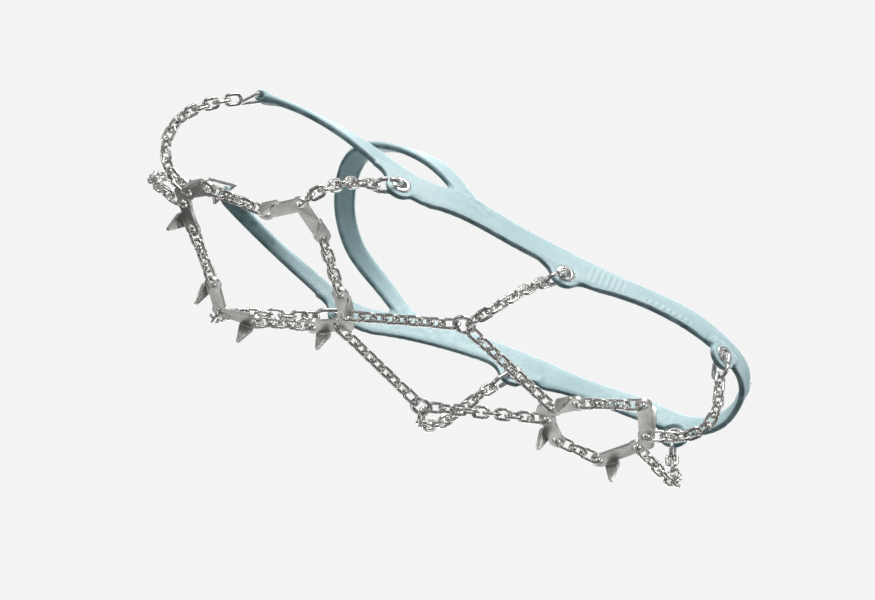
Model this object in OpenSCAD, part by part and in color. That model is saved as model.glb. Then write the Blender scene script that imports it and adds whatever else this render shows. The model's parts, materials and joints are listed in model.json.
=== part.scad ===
// Shoe ice cleats for a right shoe, in the shape they hold when worn: an elastomer
// harness round the upper, steel chains down over the edges of the sole, and six
// spiked plates under the tread. The shoe itself isn't part of the object.
// +X points to the toe, +Y to the inner (medial) side and +Z up. The origin is on
// the ground, under the middle of the cleats.

/* [Harness] */
// Thickness of the elastomer band
band_t = 3.6; // [3:0.1:4.2]
// Outer radius of the lugs that hang below the band
lug_r = 7.2; // [6.8:0.1:8]
// Thickness of a lug
lug_t = 3; // [2.8:0.1:3.2]
// Half length of the eye at the end of a front arm
eye_half = 3.6; // [3.4:0.1:3.8]

/* [Grommets and hooks] */
// Radius of the hole through a grommet
grommet_bore_r = 2.6; // [2.4:0.1:2.8]
// Outer radius of a grommet's flange
grommet_flange_r = 4.7; // [4.4:0.1:4.9]
// Wire diameter of the hooks and junction rings
hook_wire = 2.2; // [2:0.1:2.4]
// Radius of a hook's rounded ends, on the middle of the wire
hook_bend_r = 4.4; // [4.3:0.1:4.6]
// Length of a hook, between the middles of the wire at its two ends
hook_len = 14; // [13.6:0.1:15]

/* [Chain] */
// Wire diameter of the chain links
link_wire = 1.7; // [1.6:0.1:1.8]
// Length of a chain link, between the middles of the wire at its two ends
link_len = 7.8; // [7.4:0.1:8.2]
// Radius of a chain link's rounded ends, on the middle of the wire
link_bend_r = 2.45; // [2.4:0.05:2.6]
// Length of the larger link that joins a chain to a plate or a ring
end_link_len = 9.4; // [9.2:0.1:9.8]
// Radius of that larger link's rounded ends
end_link_bend_r = 3; // [2.9:0.05:3.1]
// Least play where two links meet
link_play = 0.12; // [0.08:0.01:0.3]

/* [Spiked plates] */
// Thickness of the steel plates
plate_t = 1.8; // [1.5:0.1:2]
// Width of a plate's arms
arm_w = 6.4; // [6:0.1:7]
// Radius of the rounded pad round an end hole
pad_r = 4; // [3.8:0.1:4.2]
// Radius of the holes that take a chain link
hole_r = 2.2; // [2.1:0.05:2.4]
// Height of a spike below the plate
spike_h = 10; // [8:0.5:12]
// Radius of a plate's rounded corner
corner_r = 3.5; // [3.4:0.1:3.8]
// Width of a spike at its root
spike_w = 7; // [6:0.5:8]
// Width between the end holes of a forefoot plate
small_span = 28; // [26:0.5:30]
// Distance from the corner of a forefoot plate to the line of its end holes
small_depth = 12; // [11:0.5:13]
// Width between the end holes of the rear heel plate
heel_span = 46; // [44:0.5:48]
// Distance from the corner of the rear heel plate to the line of its end holes
heel_depth = 13.5; // [12.5:0.5:14.5]

/* [Hidden] */
$fn = 48;
rubber = [0.74, 0.85, 0.87];
steel = [0.72, 0.71, 0.69];
bright = [0.82, 0.82, 0.80];
link_r = link_wire / 2;
hook_r = hook_wire / 2;
ring_bend_r = 4.6;
// Middle of the plates' thickness where the sole is flat, with the spike tips on the ground
plate_z = spike_h + plate_t / 2;

// ---- Plates: corner position, turn about Z of the way the corner points, tilt up of the corner
plate_a = [[131, 11, 24], 0, 18];
plate_b = [[77, 46, plate_z + 5], 86, 5];
plate_c = [[92.7, -43, plate_z + 7], -66, 8];
plate_d = [[34.5, -6.5, plate_z], 192, 0];
plate_e = [[-65.5, -1, plate_z], 0, 0];
plate_f = [[-115.3, 5.5, plate_z + 4], 186.5, 12];
small = [small_span, small_depth];
large = [heel_span, heel_depth];

// ---- Junction rings under the waist of the sole
ring_medial = [-14.5, 26, plate_z + 1];
ring_lateral = [-13.5, -36, plate_z + 1];

// ---- Lugs on the inner side: position of the hole, turn of the way the hole faces, height of
// the band's lower edge above the hole, and radius of the blends on both sides of the lug
lug_front = [[40, 47.4, 54], 2, 5.2, 9];
lug_mid = [[-47, 37.2, 59], 4, 0.6, 8];
lug_rear = [[-130.5, 31.2, 63], 27, 1.6, 1];

// ---- Harness stations on the inner side, from the heel to the end of the front arm:
// x, y and z of the band's middle, its height, and how far its face leans up
heel_x = -150;
band_stations = [
    [heel_x, 0, 70.5, 13, 0], [-149, 11, 70.5, 13, 0], [-143, 22.5, 70, 12.5, 0],
    [-131, 30, 70, 12.5, 2], [-111, 34.2, 72.5, 14.5, 5], [-91, 36, 71, 12.5, 5],
    [-74, 36.6, 68.8, 13.4, 4], [-58, 36.9, 66.2, 18.5, 4], [-42, 37.4, 67.5, 14.5, 3],
    [-20, 39.4, 66, 14.5, 3], [0, 43, 64.8, 15.5, 3], [16, 45.8, 61.6, 15, 2],
    [30, 47, 56.8, 16.4, 0], [43, 47.4, 60.2, 11, 0], [60, 47.2, 66.5, 9, 10],
    [76, 46, 71.5, 8, 28], [92, 43.4, 75.8, 7.6, 42], [106, 39.5, 79.2, 8.2, 48],
    [116, 35.6, 81.2, 8.8, 50]
];
// The same for one half of the strap over the instep, from its root in the band to its middle
strap_stations = [
    [-2, 42.8, 66.5, 8, 3], [11, 44.9, 69.5, 9, 5], [20, 45.2, 76.2, 9.5, 12], [30, 43.8, 82, 9.8, 24],
    [41, 40.8, 86, 10, 36], [51, 35.6, 89.4, 10.2, 50], [61, 25, 95, 10.5, 65], [66.5, 12, 99.6, 11, 80],
    [68, 0, 101.5, 11.5, 90]
];

// ---- Vectors and paths
function unit(v) = v / norm(v);
function mix(a, b, t) = a + (b - a) * t;
function mirrored(p) = [p[0], -p[1], for (i = [2:len(p) - 1]) p[i]];
function reversed(list) = [for (i = [len(list) - 1:-1:0]) list[i]];
function cut_corners(p) = [
    p[0],
    for (i = [0:len(p) - 2]) each [mix(p[i], p[i + 1], 0.25), mix(p[i], p[i + 1], 0.75)],
    p[len(p) - 1]
];
function smoothed(p, times) = times == 0 ? p : smoothed(cut_corners(p), times - 1);
function path_length(p, i = 0) = i >= len(p) - 1 ? 0 : norm(p[i + 1] - p[i]) + path_length(p, i + 1);
function point_at(p, d, i = 0) =
    let (step = norm(p[i + 1] - p[i]))
    d <= step || i == len(p) - 2 ? p[i] + (p[i + 1] - p[i]) * d / step : point_at(p, d - step, i + 1);

// A point of a plate's own frame, in the frame of the whole
function on_plate(plate, p) =
    let (turn = plate[1], tilt = plate[2], x = p[0] * cos(tilt), z = p[0] * sin(tilt))
    plate[0] + [x * cos(turn) - p[1] * sin(turn), x * sin(turn) + p[1] * cos(turn), z];
function plate_up(plate) = [-sin(plate[2]) * cos(plate[1]), -sin(plate[2]) * sin(plate[1]), cos(plate[2])];
function end_hole(size, side) = [-size[1], side * size[0] / 2];
// Two corner holes lie a little way along the arms; a single one lies on the corner
function corner_hole(size, side) = side == 0 ? [0, 0] : 5.4 * unit([-size[1], side * size[0] / 2]);
function lug_out(lug) = sign(lug[0][1]) * [-sin(lug[1]), cos(lug[1]), 0];
function other_lug(lug) = [mirrored(lug[0]), -lug[1], lug[2], lug[3]];

// Local axes: X along `along`, Z as near to `up` as it can be
module aligned(origin, along, up) {
    x = unit(along);
    z = unit(up - x * (up * x));
    y = cross(z, x);
    multmatrix([
        [x[0], y[0], z[0], origin[0]],
        [x[1], y[1], z[1], origin[1]],
        [x[2], y[2], z[2], origin[2]]
    ]) children();
}

// ---- Chain
// A closed link in the local XZ plane, long along X
module link(len, bend_r, wire_r) {
    straight = len / 2 - bend_r;
    for (side = [-1, 1]) {
        translate([-straight, 0, side * bend_r]) rotate([0, 90, 0]) cylinder(r = wire_r, h = 2 * straight);
        translate([side * straight, 0, 0]) rotate([0, side * 90, 0]) rotate([90, 0, 0])
            rotate_extrude(angle = 180) translate([bend_r, 0]) circle(r = wire_r);
    }
}

// Links strung along a path, from `lead` along it to its end, which holds a larger link.
// `up_a` and `up_b` lie in the planes of the links at the two ends. The quarter turn from
// link to link is stretched a little where the end links would otherwise not match.
module chain(path, up_a, up_b, lead, first_len, quarter) {
    room = path_length(path) - lead;
    least_step = link_len - link_wire - link_play;
    count = ceil((room - first_len - end_link_len + link_wire + link_play) / least_step) + 2;
    overlap = (first_len + end_link_len + (count - 2) * link_len - room) / (count - 1);
    odd = (count - 1 + quarter) % 2;
    turn = 90 + (odd == 0 ? 0 : 90 / (count - 1));
    for (i = [0:count - 1]) {
        len = i == 0 ? first_len : (i == count - 1 ? end_link_len : link_len);
        start = lead + (i == 0 ? 0 : first_len - overlap + (i - 1) * (link_len - overlap));
        a = point_at(path, start);
        b = point_at(path, start + len);
        up = mix(up_a, up_b, (start + len / 2 - lead) / room);
        bend_r = len == end_link_len ? end_link_bend_r : link_bend_r;
        aligned((a + b) / 2, b - a, up) rotate([90 * quarter + i * turn, 0, 0]) link(len, bend_r, link_r);
    }
}

// Where the wire at a chain's end rests inside a ring, on the side of the point `towards`
ring_rest = ring_bend_r - hook_r - link_r - link_play;
function ring_point(ring, towards) = ring + ring_rest * unit(towards - ring);

// ---- Harness shape
function xyz(p) = [p[0], p[1], p[2]];
// A half of stations with its mirror image added, in one row
function whole(half) = concat(half, [for (i = [len(half) - 2:-1:0]) mirrored(half[i])]);
band = smoothed(reversed(whole(reversed(band_stations))), 2);
strap = smoothed(whole(strap_stations), 2);
function along(path, i) = unit(xyz(path[min(i + 1, len(path) - 1)]) - xyz(path[max(i - 1, 0)]));
function facing(path, i) =
    let (t = along(path, i), out = unit([-t[1], t[0], 0]), lean = path[i][4])
    let (n = cos(lean) * out + [0, 0, sin(lean)])
    unit(n - t * (n * t));
function across(path, i) = cross(along(path, i), facing(path, i));
// The eye at the end of the inner arm: its middle and the way its hole runs
last = len(band) - 1;
eye_at = xyz(band[last]) + 2.2 * along(band, last);
eye_axis = across(band, last);
eye_out = facing(band, last);

// Eight points round a flat section with soft edges
function soft(c) = sign(c) * pow(abs(c), 0.5);
function rounded(t, h) = [for (a = [22.5:45:337.5]) [t / 2 * soft(cos(a)), h / 2 * soft(sin(a))]];

// A band of rounded section swept along a path of stations
module ribbon(path) {
    rings = [for (i = [0:len(path) - 1]) [
        for (q = rounded(band_t, path[i][3]))
            xyz(path[i]) + q[0] * facing(path, i) + q[1] * across(path, i)
    ]];
    sides = len(rings[0]);
    end = (len(rings) - 1) * sides;
    polyhedron(
        points = [for (ring = rings) each ring],
        faces = concat(
            [for (i = [0:len(rings) - 2], k = [0:sides - 1])
                let (a = i * sides + k, b = i * sides + (k + 1) % sides) [a, a + sides, b + sides, b]],
            [[for (k = [0:sides - 1]) k]],
            [[for (k = [sides - 1:-1:0]) end + k]]
        )
    );
}

// Disc of a lug, with a web up into the band that blends into the band's lower edge
module lug(place) {
    edge_h = place[2];
    blend_r = place[3];
    blend_x = sqrt(pow(lug_r + blend_r, 2) - pow(edge_h - blend_r, 2));
    // Height of the web's lower edge, just above where the blends leave the disc
    foot = (edge_h - blend_r) * lug_r / (lug_r + blend_r) + 0.3;
    web_h = 4;
    translate(place[0]) rotate([90, 0, place[1]]) linear_extrude(lug_t, center = true) {
        circle(r = lug_r);
        difference() {
            translate([-blend_x, foot]) square([2 * blend_x, edge_h + web_h - foot]);
            for (side = [-1, 1]) translate([side * blend_x, edge_h - blend_r]) circle(r = blend_r);
        }
    }
}

// Hole of a lug, with a flat seat round it on both faces for the grommet's flanges
module lug_bore(place) {
    seat_depth = 2;
    translate(place[0]) rotate([90, 0, place[1]]) {
        cylinder(r = grommet_bore_r + 0.72, h = 3 * lug_t, center = true);
        for (side = [-1, 1]) translate([0, 0, side * (lug_t + seat_depth) / 2])
            cylinder(r = grommet_flange_r + 0.3, h = seat_depth, center = true);
    }
}

// The eye at the end of a front arm, as drawn for the inner side
module eye() {
    hull() {
        aligned(eye_at, eye_axis, [0, 0, 1]) rotate([0, 90, 0])
            cylinder(r = 3.1, h = 2 * eye_half, center = true, $fn = 28);
        aligned(eye_at - 9 * along(band, last), eye_axis, eye_out) cube([7, 2, 3], center = true);
    }
}

module eye_bore() {
    aligned(eye_at, eye_axis, [0, 0, 1]) rotate([0, 90, 0])
        cylinder(r = 1.75, h = 4 * eye_half, center = true);
}

// Tab that the heel of the harness is pulled on by, with grip ribs across its outer face
module heel_tab() {
    tab_t = 3;
    translate([heel_x, 0, 0]) {
        rotate([90, 0, 90]) linear_extrude(tab_t, center = true) {
            translate([0, 79]) circle(r = 7);
            polygon([[-7, 79], [7, 79], [11, 71], [-11, 71]]);
        }
        for (z = [78.5:2.5:83.5]) translate([-tab_t / 2, 0, z]) rotate([90, 0, 0])
            cylinder(r = 0.7, h = 8, center = true);
    }
}

module harness() {
    color(rubber) difference() {
        union() {
            ribbon(band);
            ribbon(strap);
            heel_tab();
            eye();
            mirror([0, 1, 0]) eye();
            for (place = [lug_front, lug_mid, lug_rear]) {
                lug(place);
                lug(other_lug(place));
            }
        }
        for (place = [lug_front, lug_mid, lug_rear]) {
            lug_bore(place);
            lug_bore(other_lug(place));
        }
        eye_bore();
        mirror([0, 1, 0]) eye_bore();
    }
}

// ---- Metal on the harness
// Flanged eyelet of a lug, turned about the lug's hole
module grommet(place) {
    half = lug_t / 2 + 0.02;
    wall_r = grommet_bore_r + 0.7;
    rim = half + 0.6;
    color(steel) translate(place[0]) rotate([90, 0, place[1]]) rotate_extrude() polygon([
        [grommet_bore_r, -rim + 0.3], [grommet_bore_r + 0.3, -rim], [grommet_flange_r - 0.4, -rim],
        [grommet_flange_r, -rim + 0.3], [grommet_flange_r, -half], [wall_r, -half],
        [wall_r, half], [grommet_flange_r, half], [grommet_flange_r, rim - 0.3],
        [grommet_flange_r - 0.4, rim], [grommet_bore_r + 0.3, rim], [grommet_bore_r, rim - 0.3]
    ]);
}

// Open hook from a lug's hole to the chain, with its gap on the outer side
module hook(path, out) {
    b = point_at(path, hook_len);
    color(steel) aligned((path[0] + b) / 2, b - path[0], out) difference() {
        link(hook_len, hook_bend_r, hook_r);
        translate([1.5, 0, hook_bend_r]) cube([1.8, 2 * hook_wire, 2 * hook_wire], center = true);
    }
}

// Triangular wire loop in the eye of a front arm, reaching towards the toe chain
loop_reach = 12.5;
module toe_loop(path, axis) {
    half = eye_half + 2.8;
    corners = [[-half, 0, 0], [half, 0, 0], [0, 0, loop_reach + 0.6]];
    color(steel) aligned(path[0], axis, path[1] - path[0]) for (i = [0:2]) {
        step = corners[(i + 1) % 3] - corners[i];
        translate(corners[i]) {
            sphere(r = link_r + 0.15);
            aligned([0, 0, 0], step, [0, 1, 0]) rotate([0, 90, 0]) cylinder(r = link_r, h = norm(step));
        }
    }
}

// ---- Plates
// Spike bent down from the outer edge of an arm. Local X runs along the arm, Y is outward.
module spike(at_x) {
    bend = 0.8;
    drop = spike_h - bend;
    translate([at_x, arm_w / 2, -plate_t / 2 - bend]) {
        translate([-spike_w / 2, 0, 0]) rotate([90, 0, 90])
            rotate_extrude(angle = 90) translate([bend, 0]) square([plate_t, spike_w]);
        translate([0, bend + plate_t, 0]) rotate([90, 0, 0]) linear_extrude(plate_t)
            polygon([[-spike_w / 2, 0], [-0.6, -drop], [0.6, -drop], [spike_w / 2, 0]]);
    }
}

// A V of sheet steel, drawn with its corner at the origin and pointing along +X
module spiked_plate(place, size, corner_sides) {
    reach = norm([size[1], size[0] / 2]);
    half_angle = atan2(size[0] / 2, size[1]);
    corner_holes = [for (side = corner_sides) corner_hole(size, side)];
    end_holes = [for (side = [-1, 1]) end_hole(size, side)];
    color(steel) translate(place[0]) rotate([0, -place[2], place[1]]) {
        difference() {
            linear_extrude(plate_t, center = true) {
                circle(r = corner_r);
                for (side = [-1, 1]) rotate(180 - side * half_angle)
                    translate([0, -arm_w / 2]) square([reach, arm_w]);
                for (hole = concat(corner_holes, end_holes)) translate(hole) circle(r = pad_r);
            }
            for (hole = concat(corner_holes, end_holes))
                translate([hole[0], hole[1], -plate_t]) cylinder(r = hole_r, h = 2 * plate_t);
        }
        for (side = [-1, 1]) rotate(180 - side * half_angle)
            mirror([0, side > 0 ? 1 : 0, 0]) spike(reach - 4.5);
    }
}

module junction_ring(at) {
    color(steel) translate(at) rotate_extrude() translate([ring_bend_r, 0]) circle(r = hook_r);
}

// ---- Chain routes. Each is the points that the chain follows, smoothed.
function route(points) = smoothed(points, 3);
// The middle of a plate's end hole or corner hole
function end_of(plate, size, side) = on_plate(plate, end_hole(size, side));
function corner_of(plate, size, side) = on_plate(plate, corner_hole(size, side));

toe_corner = [for (side = [1, -1]) corner_of(plate_a, small, side)];
heel_corner = [for (side = [-1, 1]) corner_of(plate_f, large, side)];
toe_routes = [
    route([eye_at, [137, 31, 69], [149, 27, 53], [149, 20, 38], [140, 16, 27], toe_corner[0]]),
    route([mirrored(eye_at), [138, -27, 67], [148, -13, 52], [148, -3, 37], [140, 3, 28], toe_corner[1]])
];
front_routes = [
    route([lug_front[0], [58, 50.5, 41], [63, 54, 34], [73, 57.5, 16], corner_of(plate_b, small, 0)]),
    route([mirrored(lug_front[0]), [62, -50, 41], [88, -57, 34], [95, -54.5, 18.5],
        corner_of(plate_c, small, 0)])
];
mid_routes = [
    route([lug_mid[0], [-34, 41, 38], [-27, 41, 23], [-20, 38, 10],
        ring_point(ring_medial, [-20, 38, 12])]),
    route([mirrored(lug_mid[0]), [-36, -41, 40], [-28, -54, 26], [-17, -48, 10],
        ring_point(ring_lateral, [-17, -48, 12])])
];
rear_routes = [
    route([lug_rear[0], [-134, 31.5, 44], [-139, 28, 29], [-133, 19, 17], heel_corner[0]]),
    route([mirrored(lug_rear[0]), [-134, -31.5, 44], [-140, -25, 29], [-134, -13, 17], heel_corner[1]])
];
function from_ring(ring, b) = [ring_point(ring, b), b];

// Hooks and loops leave this much of a route to themselves before the chain begins
hook_lead = hook_len - hook_r - link_r - link_play;
loop_lead = loop_reach - 2 * link_r - link_play;
up = [0, 0, 1];
chains = [
    // name, route, planes of its first and last links, start, length of its first link, first turn
    ["chain_toe_medial", toe_routes[0], eye_out, -plate_up(plate_a), loop_lead, link_len, 0],
    ["chain_toe_lateral", toe_routes[1], mirrored(eye_out), -plate_up(plate_a), loop_lead, link_len, 0],
    ["chain_front_medial", front_routes[0], lug_out(lug_front), -plate_up(plate_b), hook_lead, link_len, 1],
    ["chain_front_lateral", front_routes[1], lug_out(other_lug(lug_front)), -plate_up(plate_c),
        hook_lead, link_len, 1],
    ["chain_mid_medial", mid_routes[0], lug_out(lug_mid), -up, hook_lead, link_len, 1],
    ["chain_mid_lateral", mid_routes[1], lug_out(other_lug(lug_mid)), -up, hook_lead, link_len, 1],
    ["chain_rear_medial", rear_routes[0], lug_out(lug_rear), -plate_up(plate_f), hook_lead, link_len, 1],
    ["chain_rear_lateral", rear_routes[1], lug_out(other_lug(lug_rear)), -plate_up(plate_f),
        hook_lead, link_len, 1],
    ["chain_toe_to_ball_medial", [end_of(plate_a, small, 1), end_of(plate_b, small, -1)],
        plate_up(plate_a), plate_up(plate_b), 0, end_link_len, 0],
    ["chain_toe_to_ball_lateral", [end_of(plate_a, small, -1), end_of(plate_c, small, 1)],
        plate_up(plate_a), plate_up(plate_c), 0, end_link_len, 0],
    ["chain_ball_to_forefoot_medial", [end_of(plate_b, small, 1), end_of(plate_d, small, -1)],
        plate_up(plate_b), up, 0, end_link_len, 0],
    ["chain_ball_to_forefoot_lateral", [end_of(plate_c, small, -1), end_of(plate_d, small, 1)],
        plate_up(plate_c), up, 0, end_link_len, 0],
    ["chain_waist_front_medial", from_ring(ring_medial, corner_of(plate_d, small, -1)),
        up, up, 0, end_link_len, 0],
    ["chain_waist_front_lateral", from_ring(ring_lateral, corner_of(plate_d, small, 1)),
        up, up, 0, end_link_len, 0],
    ["chain_waist_rear_medial", from_ring(ring_medial, corner_of(plate_e, small, 1)),
        up, up, 0, end_link_len, 0],
    ["chain_waist_rear_lateral", from_ring(ring_lateral, corner_of(plate_e, small, -1)),
        up, up, 0, end_link_len, 0],
    ["chain_heel_medial", [end_of(plate_e, small, 1), end_of(plate_f, large, -1)],
        up, plate_up(plate_f), 0, end_link_len, 0],
    ["chain_heel_lateral", [end_of(plate_e, small, -1), end_of(plate_f, large, 1)],
        up, plate_up(plate_f), 0, end_link_len, 0]
];

// ---- Parts drawn, one at a time or all
harness();

for (side = [0, 1]) {
    inner = side == 0;
    suffix = inner ? "_medial" : "_lateral";
    front = inner ? lug_front : other_lug(lug_front);
    mid = inner ? lug_mid : other_lug(lug_mid);
    rear = inner ? lug_rear : other_lug(lug_rear);
    grommet(front);
    grommet(mid);
    grommet(rear);
    hook(front_routes[side], lug_out(front));
    hook(mid_routes[side], lug_out(mid));
    hook(rear_routes[side], lug_out(rear));
    toe_loop(toe_routes[side], inner ? eye_axis : mirrored(eye_axis));
    junction_ring(inner ? ring_medial : ring_lateral);
}

spiked_plate(plate_a, small, [-1, 1]);  // plate_toe
spiked_plate(plate_b, small, [0]);  // plate_ball_medial
spiked_plate(plate_c, small, [0]);  // plate_ball_lateral
spiked_plate(plate_d, small, [-1, 1]);  // plate_forefoot
spiked_plate(plate_e, small, [-1, 1]);  // plate_heel_front
spiked_plate(plate_f, large, [-1, 1]);  // plate_heel_rear

for (run = chains)
    color(bright) chain(run[1], run[2], run[3], run[4], run[5], run[6]);
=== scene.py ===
"""Looks of the shoe ice cleats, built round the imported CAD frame. Lengths are in metres."""

import json
import math

import bmesh
import bpy
import numpy as np
from mathutils import Matrix, Vector

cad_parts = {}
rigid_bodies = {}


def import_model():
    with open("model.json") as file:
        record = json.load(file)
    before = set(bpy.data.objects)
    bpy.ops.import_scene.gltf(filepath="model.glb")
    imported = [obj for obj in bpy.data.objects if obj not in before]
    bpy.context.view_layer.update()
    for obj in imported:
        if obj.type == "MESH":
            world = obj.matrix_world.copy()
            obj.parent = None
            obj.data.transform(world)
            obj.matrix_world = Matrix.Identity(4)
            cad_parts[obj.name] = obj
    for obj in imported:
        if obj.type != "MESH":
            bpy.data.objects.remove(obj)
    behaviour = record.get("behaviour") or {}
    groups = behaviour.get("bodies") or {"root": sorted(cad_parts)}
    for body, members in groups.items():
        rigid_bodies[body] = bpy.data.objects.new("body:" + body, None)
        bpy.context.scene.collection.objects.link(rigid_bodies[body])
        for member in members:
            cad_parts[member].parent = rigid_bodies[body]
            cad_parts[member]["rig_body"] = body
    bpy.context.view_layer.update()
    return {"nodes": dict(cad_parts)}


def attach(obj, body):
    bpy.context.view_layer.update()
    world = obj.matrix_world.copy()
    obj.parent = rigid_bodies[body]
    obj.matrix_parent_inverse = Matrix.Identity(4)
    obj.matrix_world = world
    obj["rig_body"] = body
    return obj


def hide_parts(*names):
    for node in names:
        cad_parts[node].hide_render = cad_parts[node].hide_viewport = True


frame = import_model()
nodes = frame["nodes"]
MM = 0.001

# ---- Camera: level with the outsole, which it sees from below on the inner side
CAMERA_DISTANCE = 1.5
VIEW_WIDTH = 0.4127
BACK = Vector((0, 1, -1)).normalized()
UP = Vector((0.436, 0.636, 0.636)).normalized()
RIGHT = UP.cross(BACK)
TARGET = Vector((0.0016, 0.005, 0.040))

camera_data = bpy.data.cameras.new("camera")
camera_data.sensor_width = 36
camera_data.lens = 36 * CAMERA_DISTANCE / VIEW_WIDTH
camera = bpy.data.objects.new("camera", camera_data)
bpy.context.scene.collection.objects.link(camera)
camera.matrix_world = Matrix.Translation(TARGET + CAMERA_DISTANCE * BACK) @ Matrix(
    (RIGHT, UP, BACK)
).transposed().to_4x4()
bpy.context.scene.camera = camera
bpy.context.scene.view_settings.view_transform = "Standard"


# ---- Node trees
class Tree:
    """A node tree with short calls for making and joining nodes."""

    def __init__(self, owner):
        owner.use_nodes = True
        self.tree = owner.node_tree

    def add(self, kind, inputs=None, **settings):
        node = self.tree.nodes.new("ShaderNode" + kind)
        for key, value in settings.items():
            setattr(node, key, value)
        for key, value in (inputs or {}).items():
            self.put(node.inputs[key], value)
        return node

    def put(self, socket, value):
        if isinstance(value, bpy.types.NodeSocket):
            self.tree.links.new(value, socket)
        else:
            socket.default_value = value

    def noise(self, where, scale, detail=3, rough=0.55, stretch=(1, 1, 1)):
        """Noise from 0 to 1, with features about 1 / scale metres long, stretched along the axes."""
        mapping = self.add("Mapping", {"Vector": where, "Scale": stretch})
        found = self.add("TexNoise", {
            "Vector": mapping.outputs[0], "Scale": scale, "Detail": detail, "Roughness": rough,
        })
        return found.outputs["Fac"]

    def steps(self, value, low, high, out_low=0.0, out_high=1.0):
        found = self.add("MapRange", {
            "Value": value, "From Min": low, "From Max": high, "To Min": out_low, "To Max": out_high,
        }, interpolation_type="SMOOTHSTEP")
        return found.outputs["Result"]

    def math(self, operation, a, b):
        return self.add("Math", {0: a, 1: b}, operation=operation).outputs[0]

    def mix(self, share, a, b):
        found = self.add("Mix", data_type="RGBA")
        self.put(found.inputs[0], share)
        self.put(found.inputs[6], a)
        self.put(found.inputs[7], b)
        return found.outputs[2]

    def bump(self, height, depth, strength=1.0, before=None):
        found = self.add("Bump", {"Height": height, "Distance": depth, "Strength": strength})
        if before is not None:
            self.put(found.inputs["Normal"], before)
        return found.outputs["Normal"]


def principled(name, **sockets):
    """A material, its tree, its shader, and the object's own coordinates."""
    material = bpy.data.materials.new(name)
    tree = Tree(material)
    shader = tree.tree.nodes["Principled BSDF"]
    for key, value in sockets.items():
        shader.inputs[key.replace("_", " ")].default_value = value
    return material, tree, shader, tree.add("TexCoord").outputs["Object"]


def elastomer():
    """Icy blue moulded rubber: cloudy colour, paler rubbed edges, painted shade on the underside, lower
    edges and hollows, fine grain.
    """
    material, t, shader, where = principled(
        "elastomer", Roughness=0.42, IOR=1.46, Subsurface_Weight=0.22, Subsurface_Scale=0.004,
        Subsurface_Radius=(0.55, 0.85, 1.0), Specular_IOR_Level=0.45,
    )
    cloud = t.steps(t.noise(where, 45, 4), 0.3, 0.72)
    body = t.mix(cloud, (0.440, 0.620, 0.650, 1), (0.530, 0.700, 0.725, 1))
    edge = t.add("Attribute", attribute_name="edge").outputs["Fac"]
    # The 'low' attribute marks where shade is painted into the colour
    low = t.add("Attribute", attribute_name="low").outputs["Fac"]
    patchy = t.steps(t.noise(where, 260, 5, 0.65), 0.35, 0.7)
    rubbed = t.math("MULTIPLY", edge, t.math("MULTIPLY_ADD", patchy, 0.35))
    body = t.mix(t.math("MULTIPLY", edge, 0.5), body, (0.62, 0.79, 0.82, 1))
    body = t.mix(t.math("MULTIPLY", rubbed, 0.5), body, (0.70, 0.84, 0.86, 1))
    # Painted shade: dark teal on down-facing faces, the band's lower edge and hollows, made uneven by
    # noise
    painted_shade = t.math("MULTIPLY", low, t.steps(t.noise(where, 120, 5, 0.6), 0.2, 0.75, 0.55, 1.0))
    body = t.mix(painted_shade, body, (0.030, 0.090, 0.100, 1))
    specks = t.steps(t.noise(where, 900, 2, 0.5), 0.68, 0.78, 0, 0.35)
    body = t.mix(specks, body, (0.25, 0.34, 0.36, 1))
    t.put(shader.inputs["Base Color"], body)
    t.put(shader.inputs["Roughness"], t.steps(t.noise(where, 320, 4), 0.25, 0.75, 0.34, 0.56))
    grain = t.bump(t.noise(where, 2600, 3, 0.6), 0.00004, 0.6)
    t.put(shader.inputs["Normal"], t.bump(t.noise(where, 260, 3), 0.00016, 0.5, grain))
    return material


def steel(name, pale, dark, rough, stretch, grain_scale, depth, stain=0.35):
    """Worn steel: drawn or brushed lines, cloudy tarnish, pits, and roughness that varies with them."""
    material, t, shader, where = principled(name, Metallic=1.0, Specular_IOR_Level=0.5)
    cloud = t.steps(t.noise(where, 140, 5, 0.62), 0.3, 0.7)
    lines = t.noise(where, grain_scale, 3, 0.6, stretch)
    pits = t.steps(t.noise(where, 1400, 3, 0.6), 0.63, 0.74)
    colour = t.mix(cloud, dark, pale)
    colour = t.mix(t.steps(lines, 0.3, 0.75, 0, 0.22), colour, dark)
    stains = t.steps(t.noise(where, 75, 6, 0.7), 0.56, 0.72, 0, stain)
    colour = t.mix(stains, colour, (0.20, 0.175, 0.15, 1))
    colour = t.mix(t.math("MULTIPLY", pits, 0.45), colour, (0.12, 0.11, 0.10, 1))
    t.put(shader.inputs["Base Color"], colour)
    uneven = t.math("ADD", t.steps(lines, 0.25, 0.8, rough - 0.07, rough + 0.09),
                    t.math("MULTIPLY", stains, 0.35))
    t.put(shader.inputs["Roughness"], uneven)
    fine = t.bump(lines, depth, 0.7)
    t.put(shader.inputs["Normal"], t.bump(t.math("SUBTRACT", 1.0, pits), 0.00005, 0.5, fine))
    return material


PLATE_STEEL = steel(
    "plate_steel", (0.640, 0.625, 0.595, 1), (0.470, 0.460, 0.440, 1), 0.40,
    (0.12, 1.0, 1.0), 2600, 0.00003,
)
CHAIN_STEEL = steel(
    "chain_steel", (0.760, 0.745, 0.710, 1), (0.520, 0.505, 0.480, 1), 0.27,
    (1, 1, 1), 900, 0.00002,
)
WIRE_STEEL = steel(
    "wire_steel", (0.700, 0.695, 0.680, 1), (0.480, 0.475, 0.465, 1), 0.30,
    (1, 1, 1), 1100, 0.00002,
)
EYELET_STEEL = steel(
    "eyelet_steel", (0.800, 0.800, 0.790, 1), (0.600, 0.600, 0.600, 1), 0.26,
    (1, 1, 1), 1300, 0.00002, 0.2,
)
ELASTOMER = elastomer()


def paint(obj, material):
    obj.data.materials.clear()
    obj.data.materials.append(material)


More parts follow.
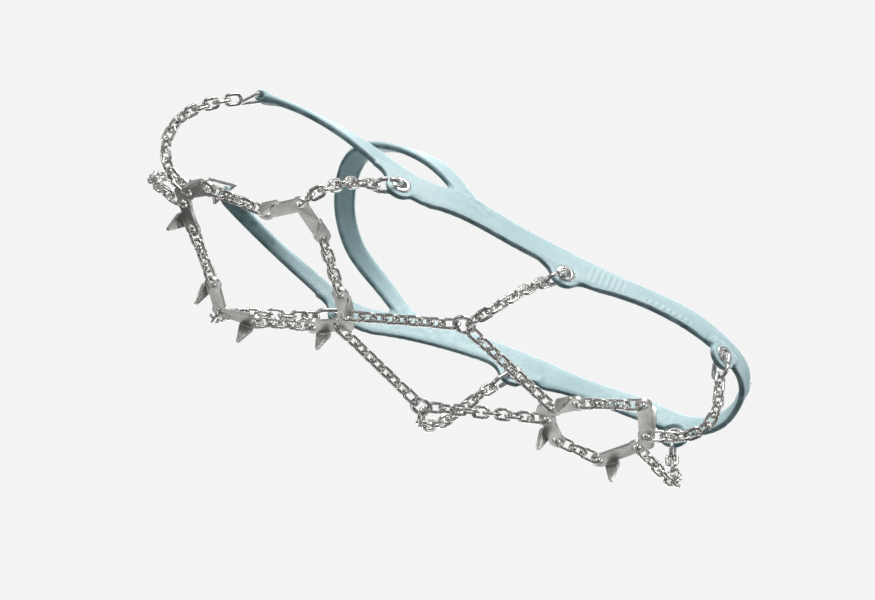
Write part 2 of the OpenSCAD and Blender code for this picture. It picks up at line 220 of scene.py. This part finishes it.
# ---- Metal pieces
def rounded_copy(node, width, material, sharp=38):
    """A copy of a CAD node whose sharp edges are rounded to `width`. It replaces the node."""
    work = bmesh.new()
    work.from_mesh(nodes[node].data)
    bmesh.ops.remove_doubles(work, verts=work.verts, dist=0.002 * MM)
    bmesh.ops.dissolve_limit(
        work, angle_limit=math.radians(0.4), verts=work.verts, edges=work.edges,
    )
    hard = [
        e for e in work.edges
        if e.is_manifold and math.degrees(e.calc_face_angle(0)) > sharp
    ]
    bmesh.ops.bevel(
        work, geom=hard, offset=width, offset_type="OFFSET", segments=3, profile=0.5,
        affect="EDGES", clamp_overlap=True, miter_outer="SHARP",
    )
    bmesh.ops.remove_doubles(work, verts=work.verts, dist=0.002 * MM)
    bmesh.ops.triangulate(work, faces=[f for f in work.faces if len(f.verts) > 4])
    bmesh.ops.recalc_face_normals(work, faces=work.faces)
    mesh = bpy.data.meshes.new(node + "_finish")
    work.to_mesh(mesh)
    work.free()
    mesh.shade_smooth()
    mesh.set_sharp_from_angle(angle=math.radians(sharp))
    piece = bpy.data.objects.new(node + "_finish", mesh)
    bpy.context.scene.collection.objects.link(piece)
    paint(piece, material)
    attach(piece, nodes[node]["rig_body"])
    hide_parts(node)
    return piece


for name, node in nodes.items():
    if name.startswith("plate_"):
        rounded_copy(name, 0.35 * MM, PLATE_STEEL)
    elif name.startswith("hook_"):
        rounded_copy(name, 0.45 * MM, WIRE_STEEL)
    elif name.startswith("grommet_"):
        rounded_copy(name, 0.12 * MM, EYELET_STEEL)
    elif name.startswith("chain_"):
        paint(node, CHAIN_STEEL)
    elif name != "harness":
        paint(node, WIRE_STEEL)

# ---- Harness stations on the inner side, from the heel to the end of the front arm:
# x, y and z of the band's middle, its height, and how far its face leans up (mm, degrees)
BAND = [
    [-150, 0, 70.5, 13, 0], [-149, 11, 70.5, 13, 0], [-143, 22.5, 70, 12.5, 0],
    [-131, 30, 70, 12.5, 2], [-111, 34.2, 72.5, 14.5, 5], [-91, 36, 71, 12.5, 5],
    [-74, 36.6, 68.8, 13.4, 4], [-58, 36.9, 66.2, 18.5, 4], [-42, 37.4, 67.5, 14.5, 3],
    [-20, 39.4, 66, 14.5, 3], [0, 43, 64.8, 15.5, 3], [16, 45.8, 61.6, 15, 2],
    [30, 47, 56.8, 16.4, 0], [43, 47.4, 60.2, 11, 0], [60, 47.2, 66.5, 9, 10],
    [76, 46, 71.5, 8, 28], [92, 43.4, 75.8, 7.6, 42], [106, 39.5, 79.2, 8.2, 48],
    [116, 35.6, 81.2, 8.8, 50],
]
# The same for one half of the strap over the instep
STRAP = [
    [-2, 42.8, 66.5, 8, 3], [11, 44.9, 69.5, 9, 5], [20, 45.2, 76.2, 9.5, 12],
    [30, 43.8, 82, 9.8, 24], [41, 40.8, 86, 10, 36], [51, 35.6, 89.4, 10.2, 50],
    [61, 25, 95, 10.5, 65], [66.5, 12, 99.6, 11, 80], [68, 0, 101.5, 11.5, 90],
]
LUG_HOLES = [(40, 54), (-47, 59), (-130.5, 63)]


def smoothed(stations, times=2):
    """The stations with their corners cut, as the CAD does it."""
    rows = np.array(stations, float)
    for _ in range(times):
        a, b = rows[:-1], rows[1:]
        cut = np.empty((2 * len(a), rows.shape[1]))
        cut[0::2] = a + 0.25 * (b - a)
        cut[1::2] = a + 0.75 * (b - a)
        rows = np.vstack([rows[:1], cut, rows[-1:]])
    return rows


def unit(v):
    return v / np.linalg.norm(v, axis=-1, keepdims=True)


def on_ribbon(points, rows):
    """Where points (mm) lie on a ribbon: distance along it from its start, height over its middle
    line, distance out of its face, and the ribbon's half height there."""
    path = rows[:, :3]
    step = np.diff(path, axis=0)
    length = np.linalg.norm(step, axis=1)
    start = np.concatenate([[0], np.cumsum(length)])
    tangent = unit(np.vstack([step[:1], path[2:] - path[:-2], step[-1:]]))
    out = unit(np.column_stack([-tangent[:, 1], tangent[:, 0], np.zeros(len(path))]))
    lean = np.radians(rows[:, 4])[:, None]
    face = np.cos(lean) * out + np.sin(lean) * np.array([[0, 0, 1.0]])
    face = unit(face - tangent * np.sum(face * tangent, axis=1, keepdims=True))
    across = np.cross(tangent, face)
    found = [np.empty(len(points)) for _ in range(4)]
    normals = np.empty((len(points), 3))
    block = 20000
    for first in range(0, len(points), block):
        p = points[first:first + block]
        rel = p[:, None, :] - path[None, :-1, :]
        share = np.clip(np.sum(rel * step, axis=2) / (length * length), 0, 1)
        gap = np.linalg.norm(rel - share[:, :, None] * step, axis=2)
        i = np.argmin(gap, axis=1)
        s = share[np.arange(len(p)), i][:, None]
        middle = path[i] + s * step[i]
        n = unit(face[i] * (1 - s) + face[i + 1] * s)
        a = unit(across[i] * (1 - s) + across[i + 1] * s)
        rows_here = slice(first, first + len(p))
        found[0][rows_here] = start[i] + s[:, 0] * length[i]
        found[1][rows_here] = np.sum((p - middle) * a, axis=1)
        found[2][rows_here] = np.sum((p - middle) * n, axis=1)
        found[3][rows_here] = (rows[i, 3] * (1 - s[:, 0]) + rows[i + 1, 3] * s[:, 0]) / 2
        normals[rows_here] = n
    return found, normals


def step_up(value, low, high):
    t = np.clip((value - low) / (high - low), 0, 1)
    return t * t * (3 - 2 * t)


def hump(value, middle, half):
    """1 at the middle, falling smoothly to 0 at `half` away from it."""
    return 1 - step_up(np.abs(value - middle), 0, half)


# ---- Harness: the CAD moulding with soft edges and its moulded detail
VOXEL = 0.64 * MM
FILLET = 1.3 * MM
SOFTENING_PASSES = 4
# The moulded detail, in mm. A pair of fades is where it grows to full height and dies out along X
FACE_REACH = 2.6
LIP_RISE, LIP_INSET, LIP_HALF_WIDTH = 0.32, 1.25, 0.85
LUG_CLEARANCE = (13, 18)
RIB_RISE, RIB_PITCH, RIB_CREST = 0.36, 2.9, -58
RIB_FADES = ((-76.5, -74.5), (-57.5, -56))
BAR_RISE, BAR_PITCH, BAR_CREST, BAR_HEIGHT = 0.36, 3.1, -86, 3.4
BAR_FADES = ((-112, -110), (-85, -83))
# How far a vertex on a sharp edge stands over its neighbours (mm), and the darkest that the painted
# shade gets
FULL_EDGE = 0.03
DARKEST_PAINTED_SHADE = 0.92


def remeshed(members, name):
    """One object with the nodes' shape in even quads. Swelling and shrinking it fills its inner
    corners with fillets, and its edges are softened as a mould leaves them."""
    source = bmesh.new()
    for member in members:
        source.from_mesh(nodes[member].data)
    bmesh.ops.remove_doubles(source, verts=source.verts, dist=0.002 * MM)
    mesh = bpy.data.meshes.new(name)
    source.to_mesh(mesh)
    source.free()
    piece = bpy.data.objects.new(name, mesh)
    bpy.context.scene.collection.objects.link(piece)
    for stage, offset in (("swell", FILLET), ("shrink", -FILLET)):
        remesh = piece.modifiers.new("even_" + stage, "REMESH")
        remesh.mode = "VOXEL"
        remesh.voxel_size = VOXEL
        remesh.adaptivity = 0
        change = piece.modifiers.new(stage, "DISPLACE")
        change.strength = offset
        change.mid_level = 0
    soften = piece.modifiers.new("soften", "SMOOTH")
    soften.factor = 0.5
    soften.iterations = SOFTENING_PASSES
    bpy.context.view_layer.update()
    done = piece.evaluated_get(bpy.context.evaluated_depsgraph_get())
    piece.data = bpy.data.meshes.new_from_object(done)
    piece.modifiers.clear()
    return piece


def read(collection, key, width):
    values = np.empty(len(collection) * width, np.float32 if width == 3 else np.int32)
    collection.foreach_get(key, values)
    return values.reshape(-1, width)


def spread(values, ends, degree, times):
    """Values averaged with their neighbours' along the mesh's edges."""
    for _ in range(times):
        total = np.bincount(ends[:, 0], values[ends[:, 1]], len(values))
        total += np.bincount(ends[:, 1], values[ends[:, 0]], len(values))
        values = (values + total / degree) / 2
    return values


def between(value, fades):
    """1 between the two fades, 0 outside them."""
    return step_up(value, *fades[0]) * (1 - step_up(value, *fades[1]))


def inside(height, out, half):
    """1 inside a ribbon, falling to 0 at its edges."""
    return step_up(half - np.abs(height), 0.3, 1.2) * (np.abs(out) < FACE_REACH)


def on_outer_face(out, face, facing):
    """1 on a ribbon's outer face, falling to 0 round its edges."""
    return step_up(out, 0.9, 1.5) * step_up(np.sum(face * facing, axis=1), 0.5, 0.9)


def lip(height, half):
    return LIP_RISE * hump(np.abs(height), half - LIP_INSET, LIP_HALF_WIDTH)


def harness_relief(place, normal):
    """How far (mm) the moulded detail stands out at each point: a lip along the edges, grip ribs
    behind the middle lug and short ridges low on the band towards the heel. Also where a point is
    on the lower edge of the band or on an edge of the strap, from 0 to 1."""
    side = np.where(place[:, 1] < 0, -1.0, 1.0)[:, None] * [0, 1, 0] + [1, 0, 1]
    point, facing = place * side, normal * side
    x = point[:, 0]
    beyond_heel = [BAND[1][0], -BAND[1][1]] + BAND[1][2:]
    (_, height, out, half), face = on_ribbon(point, smoothed([beyond_heel] + BAND))
    (reach, strap_height, strap_out, strap_half), strap_face = on_ribbon(point, smoothed(STRAP))
    in_band = inside(height, out, half)
    in_strap = inside(strap_height, strap_out, strap_half) * step_up(reach, 10, 20)
    outer = on_outer_face(out, face, facing)
    strap_outer = on_outer_face(strap_out, strap_face, facing)

    from_lug = np.min([np.hypot(x - hole_x, point[:, 2] - z) for hole_x, z in LUG_HOLES], axis=0)
    off_lug = np.where(height < 1, step_up(from_lug, *LUG_CLEARANCE), 1.0)
    off_tab = step_up(np.abs(place[:, 1]) + 1000 * (x > -146), 10, 13)
    band_lip = lip(height, half) * off_lug * outer * off_tab * (x < 112) * (1 - in_strap)
    strap_lip = lip(strap_height, strap_half) * strap_outer * (1 - in_band) * step_up(reach, 14, 22)

    ribs = RIB_RISE * np.clip(np.cos(2 * np.pi * (x - RIB_CREST) / RIB_PITCH), 0, 1) ** 1.5
    ribs = ribs * between(x, RIB_FADES) * step_up(half - np.abs(height), 2, 3) * outer
    bars = BAR_RISE * step_up(np.cos(2 * np.pi * (x - BAR_CREST) / BAR_PITCH), 0.1, 0.75)
    bars = bars * between(x, BAR_FADES) * hump(height + half, BAR_HEIGHT, 2) ** 0.5 * outer

    rim = step_up(-height - half, -2.4, -1.2) * (1 - in_strap)
    strap_rim = step_up(np.abs(strap_height) - strap_half, -2.4, -1.2) * (reach > 14)
    return band_lip + strap_lip + ribs + bars, np.maximum(rim, strap_rim)


def neighbours_mean(place, ends, degree):
    """The middle of each vertex's neighbours."""
    centre = np.empty_like(place)
    for axis in range(3):
        total = np.bincount(ends[:, 0], place[ends[:, 1], axis], len(place))
        total += np.bincount(ends[:, 1], place[ends[:, 0], axis], len(place))
        centre[:, axis] = total / degree
    return centre


def build_harness():
    members = [n for n in nodes if n.startswith("harness")]
    piece = remeshed(members, "harness_moulding")
    mesh = piece.data
    place = read(mesh.vertices, "co", 3) / MM
    normal = read(mesh.vertices, "normal", 3)
    relief, rim = harness_relief(place, normal)
    place = place + normal * relief[:, None]
    mesh.vertices.foreach_set("co", (place * MM).astype(np.float32).ravel())
    mesh.update()
    ends = read(mesh.edges, "vertices", 2)
    degree = np.bincount(ends.ravel(), minlength=len(place)).astype(float)
    normal = read(mesh.vertices, "normal", 3)
    stands_out = np.sum((place - neighbours_mean(place, ends, degree)) * normal, axis=1)
    convex = spread(stands_out, ends, degree, 3)
    edge = spread(np.clip(convex / FULL_EDGE, 0, 1), ends, degree, 2)
    # Painted shade for the material: down-facing faces, most on the band's lower rim and strap edges,
    # and hollows where creases are shaded
    hollow = np.clip(-convex / FULL_EDGE, 0, 1)
    low = (0.2 + 0.72 * rim) * step_up(-normal[:, 2], 0.2, 0.75) + 0.25 * hollow
    low = spread(np.clip(low, 0, DARKEST_PAINTED_SHADE), ends, degree, 3)
    for key, values in (("edge", edge), ("low", low)):
        attribute = mesh.attributes.new(key, "FLOAT", "POINT")
        attribute.data.foreach_set("value", values.astype(np.float32))
    mesh.shade_smooth()
    paint(piece, ELASTOMER)
    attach(piece, nodes[members[0]]["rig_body"])
    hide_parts(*members)


build_harness()


# ---- Studio
def stage_floor():
    """A plain pale floor, shown from above only, so that it doesn't hide the cleats from below."""
    work = bmesh.new()
    bmesh.ops.create_circle(work, cap_ends=True, segments=64, radius=7)
    mesh = bpy.data.meshes.new("floor")
    work.to_mesh(mesh)
    work.free()
    floor = bpy.data.objects.new("floor", mesh)
    bpy.context.scene.collection.objects.link(floor)
    floor.visible_shadow = floor.visible_diffuse = floor.visible_glossy = False
    material = bpy.data.materials.new("floor")
    t = Tree(material)
    t.tree.nodes.clear()
    pale = t.add("BsdfDiffuse", {"Color": (0.50, 0.50, 0.50, 1)})
    clear = t.add("BsdfTransparent")
    below = t.add("NewGeometry").outputs["Backfacing"]
    mixed = t.add("MixShader", {0: below, 1: pale.outputs[0], 2: clear.outputs[0]})
    t.put(t.add("OutputMaterial").inputs["Surface"], mixed.outputs[0])
    floor.data.materials.append(material)


def studio_world():
    """Pale where the camera sees it, and elsewhere a soft sky, brighter above than below."""
    world = bpy.data.worlds.new("studio")
    bpy.context.scene.world = world
    t = Tree(world)
    t.tree.nodes.clear()
    where = t.add("TexCoord").outputs["Generated"]
    height = t.add("SeparateXYZ", {0: where}).outputs["Z"]
    level = t.steps(height, -0.7, 0.8, 0.16, 0.55)
    sky = t.add("Background", {"Color": (0.93, 0.97, 1.0, 1), "Strength": level})
    dim = t.steps(height, -0.9, 0.7, 0.08, 0.42)
    mirrored = t.add("Background", {"Color": (0.96, 0.98, 1.0, 1), "Strength": dim})
    seen = t.add("Background", {"Color": (0.90, 0.90, 0.90, 1), "Strength": 1.0})
    ray = t.add("LightPath").outputs
    mixed = t.add("MixShader", {
        0: ray["Is Glossy Ray"], 1: sky.outputs[0], 2: mirrored.outputs[0],
    })
    mixed = t.add("MixShader", {0: ray["Is Camera Ray"], 1: mixed.outputs[0], 2: seen.outputs[0]})
    t.put(t.add("OutputWorld").inputs["Surface"], mixed.outputs[0])


def soft_light(name, way, distance, size, power, colour=(1, 1, 1), only_gloss=False):
    """A square area light on the side `way` of the object, turned towards it."""
    data = bpy.data.lights.new(name, "AREA")
    data.shape = "SQUARE"
    data.size = size
    data.energy = power
    data.color = colour
    light = bpy.data.objects.new(name, data)
    bpy.context.scene.collection.objects.link(light)
    way = Vector(way).normalized()
    light.location = TARGET + distance * way
    light.rotation_mode = "QUATERNION"
    light.rotation_quaternion = way.to_track_quat("Z", "Y")
    light.visible_camera = False
    light.visible_diffuse = not only_gloss


stage_floor()
studio_world()
soft_light("key", (0.25, 1.0, 0.75), 1.3, 0.6, 13, (1.0, 0.985, 0.96))
soft_light("top", (-0.1, -0.2, 1.0), 1.4, 0.9, 7)
soft_light("toe_side", (1.0, 0.25, -0.1), 1.3, 0.5, 3)
soft_light("far_side", (-0.3, -1.0, 0.25), 1.3, 0.7, 7, (0.95, 0.98, 1.0))
soft_light("heel_side", (-1.0, 0.2, 0.3), 1.3, 0.5, 3)
soft_light("under_gloss", (-0.1, -0.75, -0.75), 1.2, 1.1, 3.6, (1, 1, 1), True)
soft_light("under", (0.2, 0.6, -1.0), 1.4, 0.6, 2)
